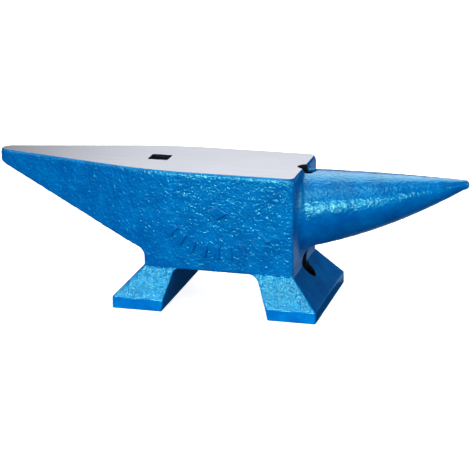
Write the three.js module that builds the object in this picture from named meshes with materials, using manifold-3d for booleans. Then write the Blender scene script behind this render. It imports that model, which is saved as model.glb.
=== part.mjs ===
// A two-horned smith's anvil of about 10 kg: a painted steel casting with a ground working face.
// Millimetres, +Z up, +X towards the round horn, front of the anvil at -Y. The origin is on the ground
// under the middle of the overall length. The casting is divided along the forge welds that a built-up
// anvil of this pattern has: face plate, body, square horn, round horn and two feet.
import * as THREE from 'three';
import Module from 'manifold-3d';
import { mergeVertices } from 'three/addons/utils/BufferGeometryUtils.js';

const wasm = await Module();
wasm.setup();

// Whole anvil
const LENGTH = 368;
const HEIGHT = 107;
const TIP_X = -LENGTH / 2;

// Face plate
const FACE_END_X = 59;
const HALF_WIDTH = 39.5;
const FACE_THICKNESS = 8;
const FACE_UNDER_Z = HEIGHT - FACE_THICKNESS;

// Outline from above: parallel sides, a long arc each, straight tapers, a round nose
const TAPER_ANGLE = THREE.MathUtils.degToRad(14.33);
const SIDE_ARC_START_X = -21.3;
const SIDE_ARC_RADIUS = 260;

// Body, between the face plate and the feet
const BODY_LEFT_X = -58.3;
const BODY_BOTTOM_Z = 30.5;

// Underside of the square horn: its slope, and where it would meet the body's left end
const UNDERSIDE_ANGLE = THREE.MathUtils.degToRad(23.33);
const UNDERSIDE_ROOT_Z = 42.6;
const UNDERSIDE_ROOT_RADIUS = 8;
const NOSE_UNDER_RADIUS = 3.3;

// Round horn, a row of circles that share a nearly level top line
const HORN_TOP_DROP = 3.3;
const HORN_TOP_CROWN = 0.8;
const HORN_ROOT_RADIUS = 30.2;
const HORN_TIP_RADIUS = 3.7;
const HORN_BULGE = 0.51;
const HORN_SIDES = 40;
const HORN_STATIONS = 18;
const HORN_TIP_STATIONS = 5;
const HORN_TIP_LAST_ANGLE = THREE.MathUtils.degToRad(85);

// Feet: a low upright band, then slopes up to the body
const BASE_HALF_WIDTH = 53;
const BAND_HEIGHT = 9;
const ARCH_CORNER_STEPS = 7;
const LEFT_FOOT = {
  outerBottomX: -79.3, outerTopX: BODY_LEFT_X, innerGroundX: -40.3, innerBandX: -39.1, innerTopX: -33.7,
  archCornerRadius: 5,
};
const RIGHT_FOOT = {
  outerBottomX: 79.5, outerTopX: FACE_END_X, innerGroundX: 42.4, innerBandX: 40.3, innerTopX: 30.3,
  archCornerRadius: 10,
};

// Holes, both straight down through the whole casting
const HARDY_X = -55.7;
const HARDY_SIZE = 16;
const PRITCHEL_X = 60.2;
const PRITCHEL_RADIUS = 7.25;
const PRITCHEL_SIDES = 32;

// Raised marks on the front of the body
const MARK_HEIGHT = 1.8;
const MARK_GAP = 0.3;
const MARK_CENTRE_X = 0.5;
const BAR_COUNT = 9;
const BAR_SPREAD = THREE.MathUtils.degToRad(88);
const BAR_ARC_RADIUS = 51;
const BAR_ARC_CENTRE_Z = 97;
const BAR_LENGTH = 11;
const BAR_WIDTH = 3.2;
const LOZENGE_Z = 77.5;
const LOZENGE_WIDTH = 17;
const LOZENGE_HEIGHT = 11;

// ---- Solids ---------------------------------------------------------------------------------------

function toSolid(geometry) {
  const bare = geometry.clone();
  bare.deleteAttribute('normal');
  bare.deleteAttribute('uv');
  const merged = mergeVertices(bare, 1e-4);
  return new wasm.Manifold(new wasm.Mesh({
    numProp: 3,
    vertProperties: new Float32Array(merged.attributes.position.array),
    triVerts: new Uint32Array(merged.index.array),
  }));
}

function toGeometry(solid) {
  const mesh = solid.getMesh();
  const geometry = new THREE.BufferGeometry();
  geometry.setAttribute('position', new THREE.BufferAttribute(new Float32Array(mesh.vertProperties), 3));
  geometry.setIndex(new THREE.BufferAttribute(new Uint32Array(mesh.triVerts), 1));
  geometry.computeVertexNormals();
  return geometry;
}

// A box between two corners
function block(x0, x1, y0, y1, z0, z1) {
  const geometry = new THREE.BoxGeometry(x1 - x0, y1 - y0, z1 - z0);
  geometry.translate((x0 + x1) / 2, (y0 + y1) / 2, (z0 + z1) / 2);
  return geometry;
}

// A closed skin over a row of rings that have the same number of points, with flat ends
function loft(rings) {
  const sides = rings[0].length;
  const positions = rings.flat().flatMap((point) => [point.x, point.y, point.z]);
  const triangles = [];
  for (let ring = 0; ring < rings.length - 1; ring++) {
    for (let side = 0; side < sides; side++) {
      const next = (side + 1) % sides;
      const a = ring * sides + side;
      const b = ring * sides + next;
      triangles.push(a, b, b + sides);
      triangles.push(a, b + sides, a + sides);
    }
  }
  const last = (rings.length - 1) * sides;
  for (let side = 1; side < sides - 1; side++) {
    triangles.push(0, side + 1, side);
    triangles.push(last, last + side, last + side + 1);
  }
  const geometry = new THREE.BufferGeometry();
  geometry.setAttribute('position', new THREE.Float32BufferAttribute(positions, 3));
  geometry.setIndex(triangles);
  return geometry;
}

// ---- Outline from above ---------------------------------------------------------------------------

// Half width of the face and of everything straight below it, right of the nose
function halfWidthAt(x) {
  const back = SIDE_ARC_START_X - x;
  if (back <= 0) {
    return HALF_WIDTH;
  }
  const arcLength = SIDE_ARC_RADIUS * Math.sin(TAPER_ANGLE);
  if (back <= arcLength) {
    return HALF_WIDTH - SIDE_ARC_RADIUS + Math.sqrt(SIDE_ARC_RADIUS ** 2 - back ** 2);
  }
  const atArcEnd = HALF_WIDTH - SIDE_ARC_RADIUS * (1 - Math.cos(TAPER_ANGLE));
  return atArcEnd - (back - arcLength) * Math.tan(TAPER_ANGLE);
}

// The nose is the circle that touches both tapers and the tip
const NOSE_RADIUS = (halfWidthAt(TIP_X) * Math.cos(TAPER_ANGLE)) / (1 - Math.sin(TAPER_ANGLE));

function outlineFromAbove() {
  const front = -Math.PI / 2;
  const centreY = HALF_WIDTH - SIDE_ARC_RADIUS;
  const shape = new THREE.Shape();
  shape.moveTo(FACE_END_X, HALF_WIDTH);
  shape.lineTo(FACE_END_X, -HALF_WIDTH);
  shape.absarc(SIDE_ARC_START_X, -centreY, SIDE_ARC_RADIUS, front, front - TAPER_ANGLE, true);
  shape.absarc(TIP_X + NOSE_RADIUS, 0, NOSE_RADIUS, front - TAPER_ANGLE, TAPER_ANGLE - 3 * Math.PI / 2, true);
  shape.absarc(SIDE_ARC_START_X, centreY, SIDE_ARC_RADIUS, Math.PI / 2 + TAPER_ANGLE, Math.PI / 2, true);
  shape.closePath();
  return shape;
}

function prismFromAbove(z0, z1) {
  const geometry = new THREE.ExtrudeGeometry(outlineFromAbove(), {
    depth: z1 - z0, bevelEnabled: false, curveSegments: 12,
  });
  geometry.translate(0, 0, z0);
  return toSolid(geometry);
}

// ---- Holes ----------------------------------------------------------------------------------------

function hardyHole() {
  const half = HARDY_SIZE / 2;
  return toSolid(block(HARDY_X - half, HARDY_X + half, -half, half, -1, HEIGHT + 1));
}

function pritchelHole() {
  const geometry = new THREE.CylinderGeometry(PRITCHEL_RADIUS, PRITCHEL_RADIUS, HEIGHT + 2, PRITCHEL_SIDES);
  geometry.rotateX(Math.PI / 2);
  geometry.translate(PRITCHEL_X, 0, HEIGHT / 2);
  return toSolid(geometry);
}

// ---- Pieces ---------------------------------------------------------------------------------------

function facePlate() {
  return prismFromAbove(FACE_UNDER_Z, HEIGHT).subtract(hardyHole()).subtract(pritchelHole());
}

function body() {
  const upright = prismFromAbove(BODY_BOTTOM_Z, FACE_UNDER_Z);
  const between = toSolid(block(BODY_LEFT_X, FACE_END_X, -HALF_WIDTH - 1, HALF_WIDTH + 1, 0, HEIGHT));
  return upright.intersect(between).subtract(hardyHole()).subtract(pritchelHole());
}

// The square horn's side view: flat top, round nose corner, sloping underside, hollow corner at the body
function squareHornSideView() {
  const rise = (BODY_LEFT_X - TIP_X) * Math.tan(UNDERSIDE_ANGLE);
  const noseUnderZ = UNDERSIDE_ROOT_Z + rise;
  const cornerReach = Math.tan((Math.PI / 2 - UNDERSIDE_ANGLE) / 2);
  const noseCentreZ = noseUnderZ + NOSE_UNDER_RADIUS * cornerReach;
  const hollowCentreZ = UNDERSIDE_ROOT_Z - UNDERSIDE_ROOT_RADIUS * cornerReach;
  const downhill = -Math.PI / 2 - UNDERSIDE_ANGLE;
  const shape = new THREE.Shape();
  shape.moveTo(BODY_LEFT_X, FACE_UNDER_Z);
  shape.lineTo(TIP_X, FACE_UNDER_Z);
  shape.absarc(TIP_X + NOSE_UNDER_RADIUS, noseCentreZ, NOSE_UNDER_RADIUS, -Math.PI, downhill, false);
  shape.absarc(BODY_LEFT_X - UNDERSIDE_ROOT_RADIUS, hollowCentreZ, UNDERSIDE_ROOT_RADIUS,
    downhill + Math.PI, 0, true);
  shape.closePath();
  return shape;
}

function squareHorn() {
  const geometry = new THREE.ExtrudeGeometry(squareHornSideView(), {
    depth: 2 * HALF_WIDTH + 2, bevelEnabled: false, curveSegments: 8,
  });
  geometry.rotateX(Math.PI / 2);
  geometry.translate(0, HALF_WIDTH + 1, 0);
  return prismFromAbove(0, FACE_UNDER_Z).intersect(toSolid(geometry)).subtract(hardyHole());
}

// The round horn's circle at a share of its length, from 0 at the root to 1 at the middle of the tip ball
function hornCircle(share) {
  const left = 1 - share;
  const fullness = left + HORN_BULGE * left * share;
  const radius = HORN_TIP_RADIUS + (HORN_ROOT_RADIUS - HORN_TIP_RADIUS) * fullness;
  const topZ = HEIGHT - HORN_TOP_DROP + HORN_TOP_CROWN * 4 * share * left;
  return { radius, centreZ: topZ - radius };
}

function hornRing(x, radius, centreZ) {
  return Array.from({ length: HORN_SIDES }, (_, side) => {
    const angle = (2 * Math.PI * side) / HORN_SIDES;
    return new THREE.Vector3(x, radius * Math.cos(angle), centreZ + radius * Math.sin(angle));
  });
}

function roundHorn() {
  const tipCentreX = LENGTH / 2 - HORN_TIP_RADIUS * Math.sin(HORN_TIP_LAST_ANGLE);
  const rings = [];
  for (let station = 0; station <= HORN_STATIONS; station++) {
    const share = station / HORN_STATIONS;
    const { radius, centreZ } = hornCircle(share);
    rings.push(hornRing(THREE.MathUtils.lerp(FACE_END_X, tipCentreX, share), radius, centreZ));
  }
  const tip = hornCircle(1);
  for (let station = 1; station <= HORN_TIP_STATIONS; station++) {
    const angle = (station / HORN_TIP_STATIONS) * HORN_TIP_LAST_ANGLE;
    rings.push(hornRing(tipCentreX + tip.radius * Math.sin(angle), tip.radius * Math.cos(angle), tip.centreZ));
  }
  return toSolid(loft(rings)).subtract(pritchelHole());
}

// Points on the rounded corner between a foot's inner face and the top of the arch, from the bottom up
function archCorner(foot) {
  const side = Math.sign(foot.outerTopX);
  const lean = Math.atan2(Math.abs(foot.innerBandX - foot.innerTopX), BODY_BOTTOM_Z - BAND_HEIGHT);
  const turn = Math.PI / 2 - lean;
  const radius = foot.archCornerRadius;
  const centreX = foot.innerTopX - side * radius * Math.tan(turn / 2);
  const centreZ = BODY_BOTTOM_Z - radius;
  return Array.from({ length: ARCH_CORNER_STEPS + 1 }, (_, step) => {
    const angle = lean + (step / ARCH_CORNER_STEPS) * turn;
    return {
      x: centreX + side * radius * Math.cos(angle),
      z: centreZ + radius * Math.sin(angle),
    };
  });
}

function footRing(foot, innerX, z) {
  const spread = Math.min(1, (BODY_BOTTOM_Z - z) / (BODY_BOTTOM_Z - BAND_HEIGHT));
  const outerX = THREE.MathUtils.lerp(foot.outerTopX, foot.outerBottomX, spread);
  const outerY = THREE.MathUtils.lerp(halfWidthAt(foot.outerTopX), BASE_HALF_WIDTH, spread);
  const innerY = THREE.MathUtils.lerp(halfWidthAt(foot.innerTopX), BASE_HALF_WIDTH, spread);
  const corners = [[outerX, -outerY], [innerX, -innerY], [innerX, innerY], [outerX, outerY]];
  if (foot.outerTopX > 0) {
    corners.reverse();
  }
  return corners.map(([x, y]) => new THREE.Vector3(x, y, z));
}

function foot(dimensions) {
  const rings = [
    footRing(dimensions, dimensions.innerGroundX, 0),
    footRing(dimensions, dimensions.innerBandX, BAND_HEIGHT),
    ...archCorner(dimensions).map(({ x, z }) => footRing(dimensions, x, z)),
  ];
  return toSolid(loft(rings)).subtract(hardyHole()).subtract(pritchelHole());
}

// ---- Raised marks ---------------------------------------------------------------------------------

function barShape() {
  const end = BAR_LENGTH / 2 - BAR_WIDTH / 2;
  const shape = new THREE.Shape();
  shape.absarc(0, end, BAR_WIDTH / 2, 0, Math.PI, false);
  shape.absarc(0, -end, BAR_WIDTH / 2, Math.PI, 2 * Math.PI, false);
  shape.closePath();
  return shape;
}

function lozengeShape() {
  const shape = new THREE.Shape();
  shape.moveTo(LOZENGE_WIDTH / 2, 0);
  shape.lineTo(0, LOZENGE_HEIGHT / 2);
  shape.lineTo(-LOZENGE_WIDTH / 2, 0);
  shape.lineTo(0, -LOZENGE_HEIGHT / 2);
  shape.closePath();
  return shape;
}

// A raised mark standing upright on the front of the body, turned to lie along the face behind it
function raisedMark(name, shape, x, z, tilt) {
  const geometry = new THREE.ExtrudeGeometry(shape, {
    depth: MARK_HEIGHT, bevelEnabled: false, curveSegments: 6,
  });
  geometry.rotateZ(tilt);
  geometry.rotateX(Math.PI / 2);
  const slope = Math.atan((halfWidthAt(x + 1) - halfWidthAt(x - 1)) / 2);
  const mesh = piece(name, geometry, paint());
  mesh.rotation.z = -slope;
  mesh.position.set(x, -halfWidthAt(x) - (slope > 0 ? MARK_GAP : 0), z);
  return mesh;
}

// ---- Materials and assembly -----------------------------------------------------------------------

function paint() {
  return new THREE.MeshStandardMaterial({ color: 0x0a74be, roughness: 0.4, metalness: 0 });
}

function groundSteel() {
  return new THREE.MeshStandardMaterial({ color: 0xd3d6dc, roughness: 0.32, metalness: 1 });
}

function piece(name, geometry, material) {
  const mesh = new THREE.Mesh(geometry, material);
  mesh.name = name;
  return mesh;
}

const anvil = new THREE.Group();
anvil.add(piece('face_plate', toGeometry(facePlate()), groundSteel()));
anvil.add(piece('body', toGeometry(body()), paint()));
anvil.add(piece('square_horn', toGeometry(squareHorn()), paint()));
anvil.add(piece('round_horn', toGeometry(roundHorn()), paint()));
anvil.add(piece('left_foot', toGeometry(foot(LEFT_FOOT)), paint()));
anvil.add(piece('right_foot', toGeometry(foot(RIGHT_FOOT)), paint()));

anvil.add(raisedMark('raised_lozenge', lozengeShape(), MARK_CENTRE_X, LOZENGE_Z, 0));
for (let bar = 0; bar < BAR_COUNT; bar++) {
  const angle = (bar / (BAR_COUNT - 1) - 0.5) * BAR_SPREAD;
  const x = MARK_CENTRE_X + BAR_ARC_RADIUS * Math.sin(angle);
  const z = BAR_ARC_CENTRE_Z - BAR_ARC_RADIUS * Math.cos(angle);
  anvil.add(raisedMark(`raised_bar_${bar + 1}`, barShape(), x, z, angle));
}

export default anvil;
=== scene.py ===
"""A two-horned smith's anvil of about 10 kg, sand-cast in steel and painted blue, with a ground bare face.
Metres, +Z up, +X towards the round horn, front at -Y. The anvil is one casting, so its skin is made whole
first and then divided into the pieces of the frame, which meet without a gap."""

import math

import bmesh
import bpy
import numpy as np
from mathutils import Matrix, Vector, noise


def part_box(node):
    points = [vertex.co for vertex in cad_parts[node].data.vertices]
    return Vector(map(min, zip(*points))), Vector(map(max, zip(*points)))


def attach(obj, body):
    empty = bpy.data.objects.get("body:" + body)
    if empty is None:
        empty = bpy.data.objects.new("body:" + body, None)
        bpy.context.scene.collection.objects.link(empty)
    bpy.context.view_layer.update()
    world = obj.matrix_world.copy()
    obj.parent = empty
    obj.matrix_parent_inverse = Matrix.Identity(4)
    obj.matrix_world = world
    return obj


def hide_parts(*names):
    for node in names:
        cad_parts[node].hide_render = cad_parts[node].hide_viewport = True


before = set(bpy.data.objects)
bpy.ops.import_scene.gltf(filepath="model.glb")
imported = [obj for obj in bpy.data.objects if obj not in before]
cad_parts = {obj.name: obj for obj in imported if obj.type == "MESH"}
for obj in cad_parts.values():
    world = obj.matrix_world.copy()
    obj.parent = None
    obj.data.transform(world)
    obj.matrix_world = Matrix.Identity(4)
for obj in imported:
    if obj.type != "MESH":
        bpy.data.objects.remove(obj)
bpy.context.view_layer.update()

# ---- Body and square horn -------------------------------------------------------------------------
# The middle block and the horn with a flat top run into each other without a joint. Both are sand-cast
# steel with plain upright sides, drawn in to a round nose and sloping up underneath. The top edge has a
# broad cast rounding, which the grinding of the face later cuts through.

MM = 0.001

face_low, face_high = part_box("face_plate")
body_low, body_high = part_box("body")

TAPER_ANGLE = math.radians(14.33)
SIDE_ARC_START_X = -21.3 * MM
SIDE_ARC_RADIUS = 260 * MM
UNDERSIDE_ANGLE = math.radians(23.33)
UNDERSIDE_ROOT_Z = 42.6 * MM
UNDERSIDE_ROOT_RADIUS = 8 * MM
NOSE_UNDER_RADIUS = 3.3 * MM
EDGE_RADIUS = 1.2 * MM
SHOULDER_RADIUS = 5 * MM
SHOULDER_ANGLE_AT_FACE = math.radians(38)
LARGEST_CORNER_SHARE = 0.9
CORNER_STEPS = 6
BEND_STEPS = 12
BLOCK_END_STEPS = 16
STATION_STEP = 2 * MM

# Smoothing the fused skin takes a little off the thin nose, so it starts that much further out
NOSE_ALLOWANCE = 1.2 * MM
tip_x = face_low.x - NOSE_ALLOWANCE
end_x = body_high.x
half_width = body_high.y
# The cast top stands proud of the ground face by the height that grinding takes off
cast_top_z = face_high.z + SHOULDER_RADIUS * (1 - math.sin(SHOULDER_ANGLE_AT_FACE))


def straight_half_width(x):
    """Half width of the block seen from above, without the round nose."""
    back = SIDE_ARC_START_X - x
    if back <= 0:
        return half_width
    arc_length = SIDE_ARC_RADIUS * math.sin(TAPER_ANGLE)
    if back <= arc_length:
        return half_width - SIDE_ARC_RADIUS + math.sqrt(SIDE_ARC_RADIUS**2 - back**2)
    at_arc_end = half_width - SIDE_ARC_RADIUS * (1 - math.cos(TAPER_ANGLE))
    return at_arc_end - (back - arc_length) * math.tan(TAPER_ANGLE)


# The nose is the circle that touches both tapers and the tip
nose_radius = straight_half_width(tip_x) * math.cos(TAPER_ANGLE) / (1 - math.sin(TAPER_ANGLE))
nose_end_x = tip_x + nose_radius * (1 - math.sin(TAPER_ANGLE))


def half_width_at(x):
    if x >= nose_end_x:
        return straight_half_width(x)
    return math.sqrt(max(nose_radius**2 - (tip_x + nose_radius - x) ** 2, 0))


def rounded_by(distance, radius):
    """How far an edge of this radius has drawn in at a distance from the face beside it."""
    if distance >= radius:
        return 0.0
    return radius - math.sqrt(max(radius**2 - (radius - distance) ** 2, 0))


def underside_path():
    """(x, z) along the underside, from the nose to the flat end of the block."""
    rise = (body_low.x - tip_x) * math.tan(UNDERSIDE_ANGLE)
    reach = math.tan((math.pi / 2 - UNDERSIDE_ANGLE) / 2)
    nose_z = UNDERSIDE_ROOT_Z + rise + NOSE_UNDER_RADIUS * reach
    hollow_z = UNDERSIDE_ROOT_Z - UNDERSIDE_ROOT_RADIUS * reach
    path = []
    for step in range(1, BEND_STEPS + 1):
        angle = step / BEND_STEPS * (math.pi / 2 - UNDERSIDE_ANGLE)
        x = tip_x + NOSE_UNDER_RADIUS * (1 - math.cos(angle))
        path.append((x, nose_z - NOSE_UNDER_RADIUS * math.sin(angle)))
    slope_start = path[-1]
    hollow_x = body_low.x - UNDERSIDE_ROOT_RADIUS
    slope_end = (
        hollow_x + UNDERSIDE_ROOT_RADIUS * math.sin(UNDERSIDE_ANGLE),
        hollow_z + UNDERSIDE_ROOT_RADIUS * math.cos(UNDERSIDE_ANGLE),
    )
    count = round((slope_end[0] - slope_start[0]) / STATION_STEP)
    for step in range(1, count):
        share = step / count
        x = slope_start[0] + share * (slope_end[0] - slope_start[0])
        path.append((x, slope_start[1] + share * (slope_end[1] - slope_start[1])))
    for step in range(BEND_STEPS + 1):
        angle = UNDERSIDE_ANGLE + step / BEND_STEPS * (math.pi / 2 - UNDERSIDE_ANGLE)
        x = hollow_x + UNDERSIDE_ROOT_RADIUS * math.sin(angle)
        path.append((x, hollow_z + UNDERSIDE_ROOT_RADIUS * math.cos(angle)))
    path.append((body_low.x, body_low.z))
    flat_length = end_x - SHOULDER_RADIUS - body_low.x
    count = round(flat_length / STATION_STEP)
    for step in range(1, count + 1):
        path.append((body_low.x + step / count * flat_length, body_low.z))
    # Closer and closer together over the rounding at the end
    for step in range(1, BLOCK_END_STEPS + 1):
        left_over = (1 - step / BLOCK_END_STEPS) ** 2
        path.append((end_x - SHOULDER_RADIUS * left_over, body_low.z))
    return path


def rounded_section(half, low, high, low_radius, high_radius):
    """(y, z) round a section with upright sides, its lower and upper corners rounded."""
    corners = [
        (half, low, low_radius, -math.pi / 2),
        (half, high, high_radius, 0.0),
        (-half, high, high_radius, math.pi / 2),
        (-half, low, low_radius, math.pi),
    ]
    points = []
    for y, z, radius, start in corners:
        centre_y = y - math.copysign(radius, y)
        centre_z = z + radius if z == low else z - radius
        for step in range(CORNER_STEPS + 1):
            angle = start + step / CORNER_STEPS * math.pi / 2
            points.append((centre_y + radius * math.cos(angle), centre_z + radius * math.sin(angle)))
    return points


def skin_over(name, rings):
    """A closed skin over a row of rings with the same number of points, as a new object."""
    bm = bmesh.new()
    rows = [[bm.verts.new(point) for point in ring] for ring in rings]
    sides = len(rings[0])
    for row, next_row in zip(rows, rows[1:]):
        for side in range(sides):
            after = (side + 1) % sides
            bm.faces.new((row[side], row[after], next_row[after], next_row[side]))
    bm.faces.new(reversed(rows[0]))
    bm.faces.new(rows[-1])
    bmesh.ops.recalc_face_normals(bm, faces=bm.faces)
    mesh = bpy.data.meshes.new(name)
    bm.to_mesh(mesh)
    bm.free()
    shell = bpy.data.objects.new(name, mesh)
    bpy.context.scene.collection.objects.link(shell)
    return shell


def block_rings():
    rings = []
    for x, under_z in underside_path():
        from_end = end_x - x
        half = half_width_at(x) - rounded_by(from_end, EDGE_RADIUS)
        low = under_z + rounded_by(from_end, EDGE_RADIUS)
        high = cast_top_z - rounded_by(min(from_end, x - tip_x), SHOULDER_RADIUS)
        largest = half * LARGEST_CORNER_SHARE
        section = rounded_section(half, low, high, min(EDGE_RADIUS, largest), min(SHOULDER_RADIUS, largest))
        rings.append([(x, y, z) for y, z in section])
    return rings


block = skin_over("block", block_rings())

# ---- Round horn -----------------------------------------------------------------------------------
# A cone with a slightly full belly and a nearly level top line, cast in one with the body. It grows out
# of the body's end in a hollow rounding, wide underneath and narrow on top, and has a small blunt tip.

HORN_TOP_CROWN = 0.8 * MM
HORN_BULGE = 0.51
HORN_TIP_RADIUS = 3.7 * MM
HORN_TIP_TURN = math.radians(86)
HORN_TIP_STEPS = 8
HORN_FLARE_AT_SIDES = 7 * MM
HORN_FLARE_UNDERNEATH = 11 * MM
HORN_FLARE_STEPS = 24
HORN_DEPTH_INTO_BODY = 6 * MM
HORN_FLARE_LEFT_IN_BODY = 0.8
HORN_SIDES = 96

horn_low, horn_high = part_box("round_horn")
horn_root_radius = horn_high.y
horn_root_top_z = horn_low.z + 2 * horn_root_radius
horn_ball_x = horn_high.x - HORN_TIP_RADIUS


def horn_circle(x):
    """Radius and height of the middle of the horn at x, without the flare at its root."""
    share = (x - end_x) / (horn_ball_x - end_x)
    left = 1 - share
    radius = HORN_TIP_RADIUS + (horn_root_radius - HORN_TIP_RADIUS) * left * (1 + HORN_BULGE * share)
    # The top line is a shallow arch, highest halfway along
    top_z = horn_root_top_z + HORN_TOP_CROWN * 4 * share * left
    return radius, top_z - radius


def horn_ring(x, radius, centre_z, widened_by=None):
    """A ring round the horn; widened_by says how much the flare, given at each side, adds to the radius."""
    ring = []
    for side in range(HORN_SIDES):
        angle = 2 * math.pi * side / HORN_SIDES
        flare = HORN_FLARE_AT_SIDES - (HORN_FLARE_UNDERNEATH - HORN_FLARE_AT_SIDES) * math.sin(angle)
        wide = radius if widened_by is None else radius + widened_by(flare)
        ring.append((x, wide * math.cos(angle), centre_z + wide * math.sin(angle)))
    return ring


def horn_rings():
    root_radius, root_z = horn_circle(end_x)
    hidden_x = end_x - HORN_DEPTH_INTO_BODY
    half_hidden_x = end_x - HORN_DEPTH_INTO_BODY / 2
    rings = [
        horn_ring(hidden_x, root_radius, root_z),
        horn_ring(half_hidden_x, root_radius, root_z, lambda flare: HORN_FLARE_LEFT_IN_BODY * flare),
    ]
    # Closest together at the body, where the flare turns fastest
    for step in range(HORN_FLARE_STEPS + 1):
        out = HORN_FLARE_UNDERNEATH * (step / HORN_FLARE_STEPS) ** 1.5
        radius, centre_z = horn_circle(end_x + out)
        rings.append(horn_ring(end_x + out, radius, centre_z, lambda flare: rounded_by(out, flare)))
    flare_end_x = end_x + HORN_FLARE_UNDERNEATH
    count = round((horn_ball_x - flare_end_x) / STATION_STEP)
    for step in range(1, count + 1):
        x = flare_end_x + step / count * (horn_ball_x - flare_end_x)
        rings.append(horn_ring(x, *horn_circle(x)))
    tip_radius, tip_z = horn_circle(horn_ball_x)
    for step in range(1, HORN_TIP_STEPS + 1):
        angle = step / HORN_TIP_STEPS * HORN_TIP_TURN
        x = horn_ball_x + tip_radius * math.sin(angle)
        rings.append(horn_ring(x, tip_radius * math.cos(angle), tip_z))
    return rings


horn = skin_over("horn", horn_rings())

# ---- Feet -----------------------------------------------------------------------------------------
# Two splayed feet, cast in one with the body, leave a low arch between them. Each has a short upright
# band at the ground and slopes up from it, and its inner face turns into the arch in a rounding.

BAND_HEIGHT = 9 * MM
ARCH_CORNER_STEPS = 12
FOOT_EDGE_RADIUS = 2.4 * MM
FOOT_BELOW_GROUND = 0.5 * MM
FOOT_INTO_BODY = 7 * MM
FOOT_TOP_INSET = 3 * MM
# Where each inner face stands at the ground, above the band and at the top, and its rounding there
FOOT_INNER = {
    "left_foot": {"ground": -40.3 * MM, "band": -39.1 * MM, "waist": -33.7 * MM, "corner": 5 * MM},
    "right_foot": {"ground": 42.4 * MM, "band": 40.3 * MM, "waist": 30.3 * MM, "corner": 10 * MM},
}


def foot_ring(z, outer_x, inner_x, outer_y, inner_y):
    return [(outer_x, -outer_y, z), (inner_x, -inner_y, z), (inner_x, inner_y, z), (outer_x, outer_y, z)]


def foot_rings(node):
    low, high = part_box(node)
    inner = FOOT_INNER[node]
    inner_top_x = inner["waist"]
    side = math.copysign(1, inner_top_x)
    outer_bottom_x, outer_top_x = (low.x, body_low.x) if side < 0 else (high.x, end_x)
    waist_z = high.z

    def ring_at(z, inner_x):
        spread = min(1, (waist_z - z) / (waist_z - BAND_HEIGHT))
        outer_x = outer_top_x + spread * (outer_bottom_x - outer_top_x)
        outer_y = half_width_at(outer_top_x) + spread * (high.y - half_width_at(outer_top_x))
        inner_y = half_width_at(inner_top_x) + spread * (high.y - half_width_at(inner_top_x))
        return foot_ring(z, outer_x, inner_x, outer_y, inner_y)

    lean = math.atan2(abs(inner["band"] - inner_top_x), waist_z - BAND_HEIGHT)
    turn = math.pi / 2 - lean
    corner = inner["corner"]
    centre_x = inner_top_x - side * corner * math.tan(turn / 2)
    centre_z = waist_z - corner
    rings = [ring_at(-FOOT_BELOW_GROUND, inner["ground"]), ring_at(BAND_HEIGHT, inner["band"])]
    for step in range(ARCH_CORNER_STEPS + 1):
        angle = lean + step / ARCH_CORNER_STEPS * turn
        x = centre_x + side * corner * math.cos(angle)
        rings.append(ring_at(centre_z + corner * math.sin(angle), x))
    # The top ring is out of sight inside the body, drawn in from every side
    rings.append(
        foot_ring(
            waist_z + FOOT_INTO_BODY,
            outer_top_x - side * FOOT_TOP_INSET,
            inner_top_x + side * 3 * FOOT_TOP_INSET,
            half_width_at(outer_top_x) - FOOT_TOP_INSET,
            half_width_at(inner_top_x) - FOOT_TOP_INSET,
        )
    )
    return rings


feet = []
for node in FOOT_INNER:
    foot = skin_over(node + "_shell", foot_rings(node))
    rounding = foot.modifiers.new("edges", "BEVEL")
    rounding.width = FOOT_EDGE_RADIUS
    rounding.segments = 3
    rounding.limit_method = "ANGLE"
    rounding.angle_limit = math.radians(20)
    feet.append(foot)

# ---- Holes ----------------------------------------------------------------------------------------
# Cored straight down through the casting: the square hardy hole that takes a chisel's shank, and the
# round pritchel hole, half of it in the end of the face and half in the root of the horn.

HARDY_X = -55.7 * MM
HARDY_SIZE = 16 * MM
HARDY_CORNER_RADIUS = 0.8 * MM
PRITCHEL_X = 60.2 * MM
PRITCHEL_RADIUS = 7.25 * MM
PRITCHEL_SIDES = 96
CORE_PAST_END = 10 * MM


def hole_core(name, centre_x, outline):
    """The sand core of a hole, from below the ground to above the cast top."""
    heights = (-CORE_PAST_END, cast_top_z + CORE_PAST_END)
    return skin_over(name, [[(centre_x + x, y, z) for x, y in outline] for z in heights])


hardy_half = HARDY_SIZE / 2
hardy_outline = rounded_section(
    hardy_half, -hardy_half, hardy_half, HARDY_CORNER_RADIUS, HARDY_CORNER_RADIUS
)
pritchel_outline = []
for side in range(PRITCHEL_SIDES):
    angle = 2 * math.pi * side / PRITCHEL_SIDES
    pritchel_outline.append((PRITCHEL_RADIUS * math.cos(angle), PRITCHEL_RADIUS * math.sin(angle)))
cores = [
    hole_core("hardy_core", HARDY_X, hardy_outline),
    hole_core("pritchel_core", PRITCHEL_X, pritchel_outline),
]

# ---- Casting skin ---------------------------------------------------------------------------------
# Poured in a sand mould: block, horn and feet become one skin, their inner corners run out softly, and
# the grain of the sand leaves the surface lumpy. It is roughest on the fronts of the feet, and finest on
# the horn's tip, the bands at the ground and the slopes at the ends, which were rubbed down.

SKIN_STEP = 0.7 * MM
SAND_HILL_SIZE = 4.5 * MM
SAND_HILL_HEIGHT = 0.25 * MM
# Moulding sand has grains of 0.3 mm, too fine to show, so the clusters that they leave are drawn
SAND_GRAIN_SIZE = 2.0 * MM
SAND_GRAIN_HEIGHT = 0.30 * MM
SOFT_CHANGE = 3 * MM
# Shares of the full grain on each part of the casting
SAND_ON_BODY = 0.50
SAND_ON_SQUARE_HORN = 0.75
SAND_ON_HORN_TIP = 0.35
SAND_ON_FOOT_FRONTS = 0.90
SAND_ON_FOOT_ENDS = 0.20
SAND_ON_BANDS = 0.25


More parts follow.
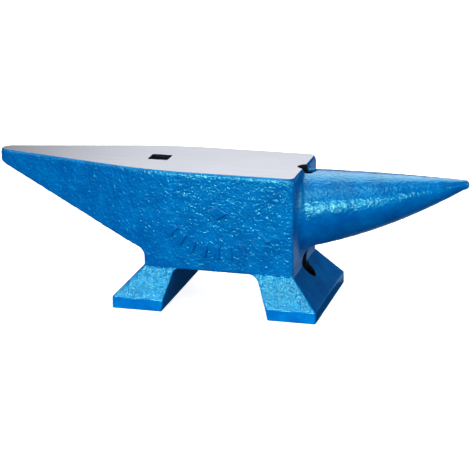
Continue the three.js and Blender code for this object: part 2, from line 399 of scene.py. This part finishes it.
def finished_mesh(shell):
    """The mesh of an object with its modifiers applied; the object itself is removed."""
    depsgraph = bpy.context.evaluated_depsgraph_get()
    mesh = bpy.data.meshes.new_from_object(shell.evaluated_get(depsgraph), depsgraph=depsgraph)
    bpy.data.objects.remove(shell)
    return mesh


def vectors_of(collection, name, count):
    values = np.empty(count * 3, np.float32)
    collection.foreach_get(name, values)
    return values.reshape(-1, 3)


def eased(values, start, end):
    """0 before start, 1 after end, and a soft change between them."""
    share = np.clip((values - start) / (end - start), 0, 1)
    return share * share * (3 - 2 * share)


def sand_roughness(points, normals):
    """How rough the sand left the skin at each point, from 0 for smooth to 1 for the roughest."""
    x, z = points[:, 0], points[:, 2]
    on_foot = 1 - eased(z, body_low.z - SOFT_CHANGE, body_low.z)
    # The horns by where they lie along X, and the feet by the way that their skin faces
    parts = [
        (SAND_ON_SQUARE_HORN, eased(-x, 30 * MM, 100 * MM)),
        (SAND_ON_HORN_TIP, eased(x, 90 * MM, 180 * MM)),
        (SAND_ON_FOOT_FRONTS, on_foot * eased(np.abs(normals[:, 1]), 0.6, 0.8)),
        (SAND_ON_FOOT_ENDS, on_foot * eased(np.abs(normals[:, 0]), 0.5, 0.7)),
        (SAND_ON_BANDS, 1 - eased(z, BAND_HEIGHT - 1 * MM, BAND_HEIGHT + 1 * MM)),
    ]
    roughness = np.full(len(points), SAND_ON_BODY)
    for part_roughness, belongs in parts:
        roughness += (part_roughness - roughness) * belongs
    return roughness


def sand_height(point):
    hills = noise.noise(point / SAND_HILL_SIZE) * SAND_HILL_HEIGHT
    return hills + noise.noise(point / SAND_GRAIN_SIZE) * SAND_GRAIN_HEIGHT


def roughen(mesh, share=1.0):
    """Lifts and lowers a mesh by this share of the sand grain, which lies fixed in the anvil's own frame."""
    points = vectors_of(mesh.vertices, "co", len(mesh.vertices))
    normals = vectors_of(mesh.vertex_normals, "vector", len(mesh.vertices))
    roughness = share * sand_roughness(points, normals)
    heights = np.array([sand_height(Vector(point)) for point in points.tolist()])
    points += normals * (heights * roughness)[:, None]
    mesh.vertices.foreach_set("co", points.ravel())
    grain = mesh.attributes.new("sand_roughness", "FLOAT", "POINT")
    grain.data.foreach_set("value", roughness.astype(np.float32))
    mesh.update()


for shell in (block, horn, *feet):
    for core in cores:
        hole = shell.modifiers.new(core.name, "BOOLEAN")
        hole.operation = "DIFFERENCE"
        hole.object = core
        hole.solver = "EXACT"

whole = bmesh.new()
for shell in (block, horn, *feet):
    part = finished_mesh(shell)
    whole.from_mesh(part)
    bpy.data.meshes.remove(part)
casting_mesh = bpy.data.meshes.new("casting")
whole.to_mesh(casting_mesh)
whole.free()
casting = bpy.data.objects.new("casting", casting_mesh)
bpy.context.scene.collection.objects.link(casting)
for core in cores:
    bpy.data.objects.remove(core)

fused = casting.modifiers.new("fused", "REMESH")
fused.mode = "VOXEL"
fused.voxel_size = SKIN_STEP
softened = casting.modifiers.new("softened", "SMOOTH")
softened.factor = 0.5
softened.iterations = 4
skin = finished_mesh(casting)
roughen(skin)

# The walls of the holes get a near-black painted shade in place of the enamel, for the shade down inside
# them. Where the pritchel hole goes into the root of the horn, its wall keeps the enamel above 101.3 mm,
# where light falls, and has the painted shade below.
ENAMEL, HOLE_SHADE, GROUND_FACE = range(3)
HOLE_MOUTH_ROUNDING = 0.6 * MM
PRITCHEL_SHADE_BELOW_Z = 101.3 * MM
# Faces inside the holes are marked for the painted shade
centre_x, centre_y, centre_z = vectors_of(skin.polygons, "center", len(skin.polygons)).T
hardy_shade = np.maximum(np.abs(centre_x - HARDY_X), np.abs(centre_y)) < hardy_half + HOLE_MOUTH_ROUNDING
pritchel_shade = np.hypot(centre_x - PRITCHEL_X, centre_y) < PRITCHEL_RADIUS + HOLE_MOUTH_ROUNDING
pritchel_shade &= (centre_x < end_x) | (centre_z < PRITCHEL_SHADE_BELOW_Z)
enamel_or_shade = np.where(hardy_shade | pritchel_shade, HOLE_SHADE, ENAMEL)
skin.polygons.foreach_set("material_index", enamel_or_shade.astype(np.int32))

# ---- Painted pieces -------------------------------------------------------------------------------
# Body, horns and feet are parts of the one casting, which is sprayed with a single blue enamel. The coat
# is glossy and thick enough to round off the sand grain, and darker where it lies thin. The walls of the
# holes get a near-black painted shade instead. The casting is divided at the waist, at both ends of the
# body and under the face.

PAINT_DARK = 0x0063B8
PAINT_LIGHT = 0x0078CD
PAINT_GLOSS = 0x00FFE8
PAINT_PATCH_SIZE = 14 * MM
# The grain that the coat lets through is 0.5 mm, too fine to show, and drawn coarser
PAINT_GRAIN_SIZE = 1.8 * MM
PAINT_GRAIN_DEPTH = 0.9 * MM
# Near-black and dark navy of the painted shade on the walls of the holes
HOLE_SHADE_DARK = 0x0A1018
HOLE_SHADE_LIGHT = 0x122436
HOLE_LUMP_SIZE = 3 * MM
HOLE_LUMP_DEPTH = 0.3 * MM
HORN_CUT_X = end_x + 3 * MM


def linear(colour):
    """sRGB hex to the linear red, green, blue and alpha that a shader takes."""
    parts = [(colour >> shift & 255) / 255 for shift in (16, 8, 0)]
    return (*(p / 12.92 if p <= 0.04045 else ((p + 0.055) / 1.055) ** 2.4 for p in parts), 1.0)


def add_node(tree, kind, settings=None, values=None, links=None):
    """A node of this kind with its settings, its socket values, and links from (node, output) pairs."""
    node = tree.nodes.new(kind)
    for name, value in (settings or {}).items():
        setattr(node, name, value)
    for name, value in (values or {}).items():
        node.inputs[name].default_value = value
    for name, (source, output) in (links or {}).items():
        tree.links.new(source.outputs[output], node.inputs[name])
    return node


def new_material(name):
    material = bpy.data.materials.new(name)
    material.use_nodes = True
    material.node_tree.nodes.clear()
    return material, material.node_tree


def cast_enamel():
    """Blue enamel over a sand casting: a blue-green gloss that breaks into sparkles on the sand's grain."""
    material, tree = new_material("blue_enamel_on_cast_steel")
    place = add_node(tree, "ShaderNodeTexCoord")
    patches = add_node(
        tree,
        "ShaderNodeTexNoise",
        values={"Scale": 1 / PAINT_PATCH_SIZE, "Detail": 3.0, "Roughness": 0.6},
        links={"Vector": (place, "Object")},
    )
    colour = add_node(tree, "ShaderNodeValToRGB", links={"Fac": (patches, "Fac")})
    colour.color_ramp.elements[0].position = 0.35
    colour.color_ramp.elements[0].color = linear(PAINT_DARK)
    colour.color_ramp.elements[1].position = 0.65
    colour.color_ramp.elements[1].color = linear(PAINT_LIGHT)
    sand = add_node(tree, "ShaderNodeAttribute", {"attribute_name": "sand_roughness"})
    grain = add_node(
        tree,
        "ShaderNodeTexNoise",
        values={"Scale": 1 / PAINT_GRAIN_SIZE, "Detail": 2.0, "Roughness": 0.55},
        links={"Vector": (place, "Object")},
    )
    bump = add_node(
        tree,
        "ShaderNodeBump",
        values={"Distance": PAINT_GRAIN_DEPTH},
        links={"Height": (grain, "Fac"), "Strength": (sand, "Fac")},
    )
    shader = add_node(
        tree,
        "ShaderNodeBsdfPrincipled",
        values={
            "Metallic": 0.0,
            "Roughness": 0.27,
            "Specular IOR Level": 1.0,
            "Specular Tint": linear(PAINT_GLOSS),
            "Coat Weight": 0.45,
            "Coat Roughness": 0.15,
        },
        links={"Base Color": (colour, "Color"), "Normal": (bump, "Normal"), "Coat Normal": (bump, "Normal")},
    )
    add_node(tree, "ShaderNodeOutputMaterial", links={"Surface": (shader, "BSDF")})
    return material


def shaded_hole_wall():
    """Painted shade on the walls of the holes: nearly black, dull and lumpy, standing in for the shade
    inside them.
    """
    material, tree = new_material("painted_shade_in_holes")
    place = add_node(tree, "ShaderNodeTexCoord")
    hole_lumps = add_node(
        tree,
        "ShaderNodeTexNoise",
        values={"Scale": 1 / HOLE_LUMP_SIZE, "Detail": 3.0, "Roughness": 0.6},
        links={"Vector": (place, "Object")},
    )
    colour = add_node(tree, "ShaderNodeValToRGB", links={"Fac": (hole_lumps, "Fac")})
    colour.color_ramp.elements[0].position = 0.35
    colour.color_ramp.elements[0].color = linear(HOLE_SHADE_DARK)
    colour.color_ramp.elements[1].position = 0.7
    colour.color_ramp.elements[1].color = linear(HOLE_SHADE_LIGHT)
    bump = add_node(
        tree,
        "ShaderNodeBump",
        values={"Strength": 0.5, "Distance": HOLE_LUMP_DEPTH},
        links={"Height": (hole_lumps, "Fac")},
    )
    shader = add_node(
        tree,
        "ShaderNodeBsdfPrincipled",
        values={"Metallic": 0.0, "Roughness": 0.75, "Specular IOR Level": 0.2},
        links={"Base Color": (colour, "Color"), "Normal": (bump, "Normal")},
    )
    add_node(tree, "ShaderNodeOutputMaterial", links={"Surface": (shader, "BSDF")})
    return material


def cut_piece(node, planes, materials):
    """The part of the casting within these planes, each (point, outward direction, finish of the cut)."""
    bm = bmesh.new()
    bm.from_mesh(skin)
    bm.normal_update()
    skin_normal = bm.verts.layers.float_vector.new("skin_normal")
    for vert in bm.verts:
        vert[skin_normal] = vert.normal
    is_cut = bm.faces.layers.int.new("is_cut")
    for point, outward, finish_of_cut in planes:
        everything = bm.verts[:] + bm.edges[:] + bm.faces[:]
        cut = bmesh.ops.bisect_plane(
            bm, geom=everything, dist=1e-7, plane_co=point, plane_no=outward, clear_outer=True
        )
        rim = [part for part in cut["geom_cut"] if isinstance(part, bmesh.types.BMEdge)]
        closed = bmesh.ops.triangle_fill(bm, use_beauty=True, edges=rim, normal=outward)
        for part in closed["geom"]:
            if isinstance(part, bmesh.types.BMFace):
                part[is_cut] = 1
                part.material_index = finish_of_cut
                if part.normal.dot(Vector(outward)) < 0:
                    part.normal_flip()
    bm.normal_update()
    mesh = bpy.data.meshes.new(node)
    for material in materials:
        mesh.materials.append(material)
    # Flat cuts stay flat, and the skin keeps the shading of the whole casting up to its edges
    normals = []
    for face in bm.faces:
        face.smooth = True
        for vert in face.verts:
            normals.append(face.normal.copy() if face[is_cut] else vert[skin_normal].normalized())
    bm.to_mesh(mesh)
    bm.free()
    mesh.normals_split_custom_set(normals)
    for layer in ("skin_normal", "is_cut"):
        mesh.attributes.remove(mesh.attributes[layer])
    piece = bpy.data.objects.new(node + "_casting", mesh)
    bpy.context.scene.collection.objects.link(piece)
    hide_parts(node)
    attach(piece, "root")
    return piece


enamel = cast_enamel()
painted = [enamel, shaded_hole_wall()]
face_under = (0, 0, face_low.z)
waist = (0, 0, body_low.z)
square_end = (body_low.x, 0, 0)
horn_end = (HORN_CUT_X, 0, 0)
ground = (0, 0, 0)
LEFT, RIGHT, UP, DOWN = (-1, 0, 0), (1, 0, 0), (0, 0, 1), (0, 0, -1)

painted_planes = {
    "body": [(face_under, UP), (waist, DOWN), (square_end, LEFT), (horn_end, RIGHT)],
    "square_horn": [(square_end, RIGHT), (face_under, UP), (waist, DOWN)],
    "round_horn": [(horn_end, LEFT), (waist, DOWN)],
    "left_foot": [(waist, UP), (ground, DOWN), (ground, RIGHT)],
    "right_foot": [(waist, UP), (ground, DOWN), (ground, LEFT)],
}
painted_pieces = {}
for node, planes in painted_planes.items():
    cuts = [(point, outward, ENAMEL) for point, outward in planes]
    painted_pieces[node] = cut_piece(node, cuts, painted)

# ---- Face plate -----------------------------------------------------------------------------------
# The top 8 mm of the casting. Its upper side is ground flat after painting, so bare bright steel meets
# the enamel of the sides in a crisp line, with fine lines lengthwise from the wheel.

STEEL_LIGHT = 0xD2D4DC
STEEL_DARK = 0xC0C2CC
WHEEL_LINE_LENGTH = 60 * MM
# The wheel's lines lie 0.1 mm apart, too fine to show, and are drawn wider
WHEEL_LINE_WIDTH = 0.9 * MM
WHEEL_LINE_DEPTH = 0.05 * MM


def ground_steel():
    """Surface-ground steel: bright and even, with faint lengthwise lines from the grinding wheel."""
    material, tree = new_material("ground_steel")
    place = add_node(tree, "ShaderNodeTexCoord")
    along = add_node(
        tree,
        "ShaderNodeMapping",
        values={"Scale": (1 / WHEEL_LINE_LENGTH, 1 / WHEEL_LINE_WIDTH, 1.0)},
        links={"Vector": (place, "Object")},
    )
    lines = add_node(
        tree,
        "ShaderNodeTexNoise",
        values={"Scale": 1.0, "Detail": 4.0, "Roughness": 0.6},
        links={"Vector": (along, "Vector")},
    )
    colour = add_node(tree, "ShaderNodeValToRGB", links={"Fac": (lines, "Fac")})
    colour.color_ramp.elements[0].position = 0.3
    colour.color_ramp.elements[0].color = linear(STEEL_DARK)
    colour.color_ramp.elements[1].position = 0.7
    colour.color_ramp.elements[1].color = linear(STEEL_LIGHT)
    bump = add_node(
        tree,
        "ShaderNodeBump",
        values={"Strength": 0.15, "Distance": WHEEL_LINE_DEPTH},
        links={"Height": (lines, "Fac")},
    )
    shader = add_node(
        tree,
        "ShaderNodeBsdfPrincipled",
        values={"Metallic": 1.0, "Roughness": 0.38},
        links={"Base Color": (colour, "Color"), "Normal": (bump, "Normal")},
    )
    add_node(tree, "ShaderNodeOutputMaterial", links={"Surface": (shader, "BSDF")})
    return material


face_top = (0, 0, face_high.z)
cut_piece(
    "face_plate",
    [(face_under, DOWN, ENAMEL), (horn_end, RIGHT, ENAMEL), (face_top, UP, GROUND_FACE)],
    [*painted, ground_steel()],
)

# ---- Raised marks ---------------------------------------------------------------------------------
# A lozenge over an arc of nine short bars, cast on the front of the body. They stand 1.8 mm proud and
# their shoulders are soft, as sand gives them, so each one runs down into the skin round it.

MARK_HEIGHT = 1.8 * MM
MARK_SHOULDER = 1.4 * MM
MARK_FOOT_DEPTH = 0.5 * MM
MARK_BACK_DEPTH = 1.5 * MM
MARK_MARGIN = 1.5 * MARK_SHOULDER
MARK_STEP = 0.35 * MM
MARK_GRAIN_SHARE = 0.4
BAR_COUNT = 9
BAR_LENGTH = 11 * MM
BAR_WIDTH = 3.2 * MM
LOZENGE_WIDTH = 17 * MM
LOZENGE_HEIGHT = 11 * MM
BAR_ARC_CENTRE_Z = 97 * MM


def outside_bar(across, along):
    """How far a point lies outside a bar with round ends, and less than 0 inside it."""
    past_end = np.maximum(np.abs(along) - (BAR_LENGTH - BAR_WIDTH) / 2, 0)
    return np.hypot(across, past_end) - BAR_WIDTH / 2


def outside_lozenge(across, along):
    """The same for the lozenge, measured square to its sides."""
    half_wide, half_high = LOZENGE_WIDTH / 2, LOZENGE_HEIGHT / 2
    reach = np.abs(across) * half_high + np.abs(along) * half_wide - half_wide * half_high
    return reach / math.hypot(half_wide, half_high)


def raised_mark(node, outside, width, length):
    """One mark: a sheet lying on the body's front, lifted within its outline, closed by a sheet behind."""
    low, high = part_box(node)
    centre_x, centre_z = (low.x + high.x) / 2, (low.z + high.z) / 2
    tilt = 0.0
    if outside is outside_bar:
        tilt = math.atan2(centre_x - arc_centre_x, BAR_ARC_CENTRE_Z - centre_z)
    across_count = round((width + 2 * MARK_MARGIN) / MARK_STEP)
    along_count = round((length + 2 * MARK_MARGIN) / MARK_STEP)
    bm = bmesh.new()

    def sheet(depth_of):
        """Rows of points that follow the body's front, each standing out by its depth."""
        rows = []
        for row in range(along_count + 1):
            along = (row - along_count / 2) * MARK_STEP
            line = []
            for column in range(across_count + 1):
                across = (column - across_count / 2) * MARK_STEP
                x = centre_x + across * math.cos(tilt) - along * math.sin(tilt)
                z = centre_z + across * math.sin(tilt) + along * math.cos(tilt)
                line.append(bm.verts.new((x, -half_width_at(x) - depth_of(across, along), z)))
            rows.append(line)
        return rows

    def stand(across, along):
        inside = eased(-outside(across, along), -MARK_SHOULDER / 2, MARK_SHOULDER / 2)
        return inside * (MARK_HEIGHT + MARK_FOOT_DEPTH) - MARK_FOOT_DEPTH

    front = sheet(stand)
    back = sheet(lambda across, along: -MARK_BACK_DEPTH)
    for row in range(along_count):
        for column in range(across_count):
            for rows in (front, back):
                lower, upper = rows[row], rows[row + 1]
                corners = [lower[column], lower[column + 1], upper[column + 1], upper[column]]
                bm.faces.new(corners if rows is front else corners[::-1])

    def edge_of(rows):
        """The points round the edge of a sheet, in order."""
        return (
            rows[0]
            + [line[-1] for line in rows[1:]]
            + rows[-1][-2::-1]
            + [line[0] for line in rows[-2:0:-1]]
        )

    front_edge, back_edge = edge_of(front), edge_of(back)
    for index in range(len(front_edge)):
        after = (index + 1) % len(front_edge)
        bm.faces.new((front_edge[after], front_edge[index], back_edge[index], back_edge[after]))
    bmesh.ops.recalc_face_normals(bm, faces=bm.faces)
    mesh = bpy.data.meshes.new(node)
    bm.to_mesh(mesh)
    bm.free()
    roughen(mesh, share=MARK_GRAIN_SHARE)
    mesh.materials.append(enamel)
    mesh.polygons.foreach_set("use_smooth", [True] * len(mesh.polygons))
    piece = bpy.data.objects.new(node + "_casting", mesh)
    bpy.context.scene.collection.objects.link(piece)
    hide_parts(node)
    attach(piece, "root")


lozenge_low, lozenge_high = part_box("raised_lozenge")
arc_centre_x = (lozenge_low.x + lozenge_high.x) / 2
raised_mark("raised_lozenge", outside_lozenge, LOZENGE_WIDTH, LOZENGE_HEIGHT)
for number in range(1, BAR_COUNT + 1):
    raised_mark(f"raised_bar_{number}", outside_bar, BAR_WIDTH, BAR_LENGTH)

# ---- Studio ---------------------------------------------------------------------------------------
# A plain pale floor with soft lamps round it: a wide low one in front for the bright line along the round
# horn, a panel high behind for the ground face, a panel at each side, and small lamps for the feet.

FLOOR_HALF = 6.0
FLOOR_GREY = 0xE8E8E8
FLOOR_OWN_LIGHT = 0.85

floor_mesh = bpy.data.meshes.new("floor")
floor_corners = [
    (-FLOOR_HALF, -FLOOR_HALF, 0),
    (FLOOR_HALF, -FLOOR_HALF, 0),
    (FLOOR_HALF, FLOOR_HALF, 0),
    (-FLOOR_HALF, FLOOR_HALF, 0),
]
floor_mesh.from_pydata(floor_corners, [], [(0, 1, 2, 3)])
floor = bpy.data.objects.new("floor", floor_mesh)
bpy.context.scene.collection.objects.link(floor)
floor_paint, floor_tree = new_material("matt_white_floor_paint")
floor_shader = add_node(
    floor_tree,
    "ShaderNodeBsdfPrincipled",
    values={
        "Base Color": linear(FLOOR_GREY),
        "Roughness": 0.9,
        "Specular IOR Level": 0.0,
        "Emission Color": linear(0xFFFFFF),
        "Emission Strength": FLOOR_OWN_LIGHT,
    },
)
add_node(floor_tree, "ShaderNodeOutputMaterial", links={"Surface": (floor_shader, "BSDF")})
floor_mesh.materials.append(floor_paint)
# The floor shines evenly by itself, so it may not light the anvil: the lamps below do that
floor.visible_diffuse = False
floor.visible_glossy = False

HORN_ROOT = Vector((30 * MM, 0, 60 * MM))
ANVIL_MIDDLE = Vector((0, 0, 60 * MM))
BETWEEN_FEET = Vector((0, 0, 20 * MM))
FOOT_BANDS = Vector((0, 0, 4 * MM))
BEHIND_HORN_ON_FLOOR = Vector((392 * MM, 330 * MM, 1 * MM))


def soft_light(name, target, azimuth, elevation, distance, size, power, spread=180):
    """A rectangular lamp seen from its target at these angles; azimuth runs from the front (-Y) to +X."""
    turn, rise = math.radians(azimuth), math.radians(elevation)
    away = Vector((math.sin(turn) * math.cos(rise), -math.cos(turn) * math.cos(rise), math.sin(rise)))
    lamp = bpy.data.lights.new(name, "AREA")
    lamp.shape = "RECTANGLE"
    lamp.size, lamp.size_y = size
    lamp.energy = power
    lamp.spread = math.radians(spread)
    light = bpy.data.objects.new(name, lamp)
    light.location = target + distance * away
    light.rotation_euler = (-away).to_track_quat("-Z", "Y").to_euler()
    light.visible_camera = False
    bpy.context.scene.collection.objects.link(light)
    return light


soft_light("front_light", HORN_ROOT, -7, 10, 1.27, size=(0.82, 0.16), power=1.3, spread=60)
soft_light("high_front_light", HORN_ROOT, -25, 55, 1.2, size=(0.6, 0.5), power=0.42, spread=60)

# Two lamps for the feet alone bring out their rough fronts: a soft one, and a small one seen in the gloss
feet_light = soft_light("feet_light", BETWEEN_FEET, -14, 52, 1.2, size=(0.22, 0.2), power=0.9)
feet_sparkle = soft_light("feet_sparkle", BETWEEN_FEET, -18, 55, 1.2, size=(0.1, 0.1), power=5.0)
feet_sparkle.visible_diffuse = False
lit_feet = bpy.data.collections.new("feet_of_the_anvil")
for node in FOOT_INNER:
    lit_feet.objects.link(painted_pieces[node])
for lamp in (feet_light, feet_sparkle):
    lamp.light_linking.receiver_collection = lit_feet

soft_light("back_panel", ANVIL_MIDDLE, 183, 54, 1.1, size=(0.9, 1.3), power=9.0)
soft_light("left_panel", ANVIL_MIDDLE, -60, 35, 1.3, size=(0.7, 0.6), power=3.2)
soft_light("right_panel", ANVIL_MIDDLE, 70, 22, 1.3, size=(1.0, 0.8), power=5.0)

# A cool card that lies on the floor and faces up is seen in the gloss of the end and of the horn
floor_card = soft_light("floor_card", BEHIND_HORN_ON_FLOOR, 0, -90, 0, size=(0.62, 0.56), power=0.35)
floor_card.rotation_euler = (math.pi, 0, 0)
floor_card.data.color = (0.7, 1.0, 1.6)
floor_card.visible_diffuse = False

# Stands for the light that a white floor throws back on the upright bands of the feet
floor_glow = soft_light("floor_glow", FOOT_BANDS, 0, 0, 0.25, size=(0.34, 0.008), power=0.006, spread=6)
floor_glow.visible_glossy = False

# A dim room, a little bluer near the ground
ROOM_AT_GROUND = (0.005, 0.03, 0.08, 1)
ROOM_ABOVE = (0.01, 0.01, 0.015, 1)
ROOM_CHANGE_HEIGHT = 0.06

room = bpy.data.worlds.new("studio")
bpy.context.scene.world = room
room.use_nodes = True
room_tree = room.node_tree
room_tree.nodes.clear()
direction = add_node(room_tree, "ShaderNodeTexCoord")
height = add_node(room_tree, "ShaderNodeSeparateXYZ", links={"Vector": (direction, "Generated")})
shade = add_node(room_tree, "ShaderNodeValToRGB", links={"Fac": (height, "Z")})
shade.color_ramp.elements[0].position = 0.0
shade.color_ramp.elements[0].color = ROOM_AT_GROUND
shade.color_ramp.elements[1].position = ROOM_CHANGE_HEIGHT
shade.color_ramp.elements[1].color = ROOM_ABOVE
room_glow = add_node(room_tree, "ShaderNodeBackground", links={"Color": (shade, "Color")})
add_node(room_tree, "ShaderNodeOutputWorld", links={"Surface": (room_glow, "Background")})

CAMERA_LENS = 158.37
CAMERA_SENSOR = 36
CAMERA_PLACE = (0.38612, -1.47874, 0.50727)
CAMERA_DOWN_TILT = 0.29163
CAMERA_TURN = 0.25298

camera_data = bpy.data.cameras.new("camera")
camera_data.sensor_width = CAMERA_SENSOR
camera_data.lens = CAMERA_LENS
camera = bpy.data.objects.new("camera", camera_data)
camera.location = CAMERA_PLACE
camera.rotation_euler = (math.pi / 2 - CAMERA_DOWN_TILT, 0, CAMERA_TURN)
bpy.context.scene.collection.objects.link(camera)
bpy.context.scene.camera = camera
bpy.context.scene.view_settings.view_transform = "Standard"
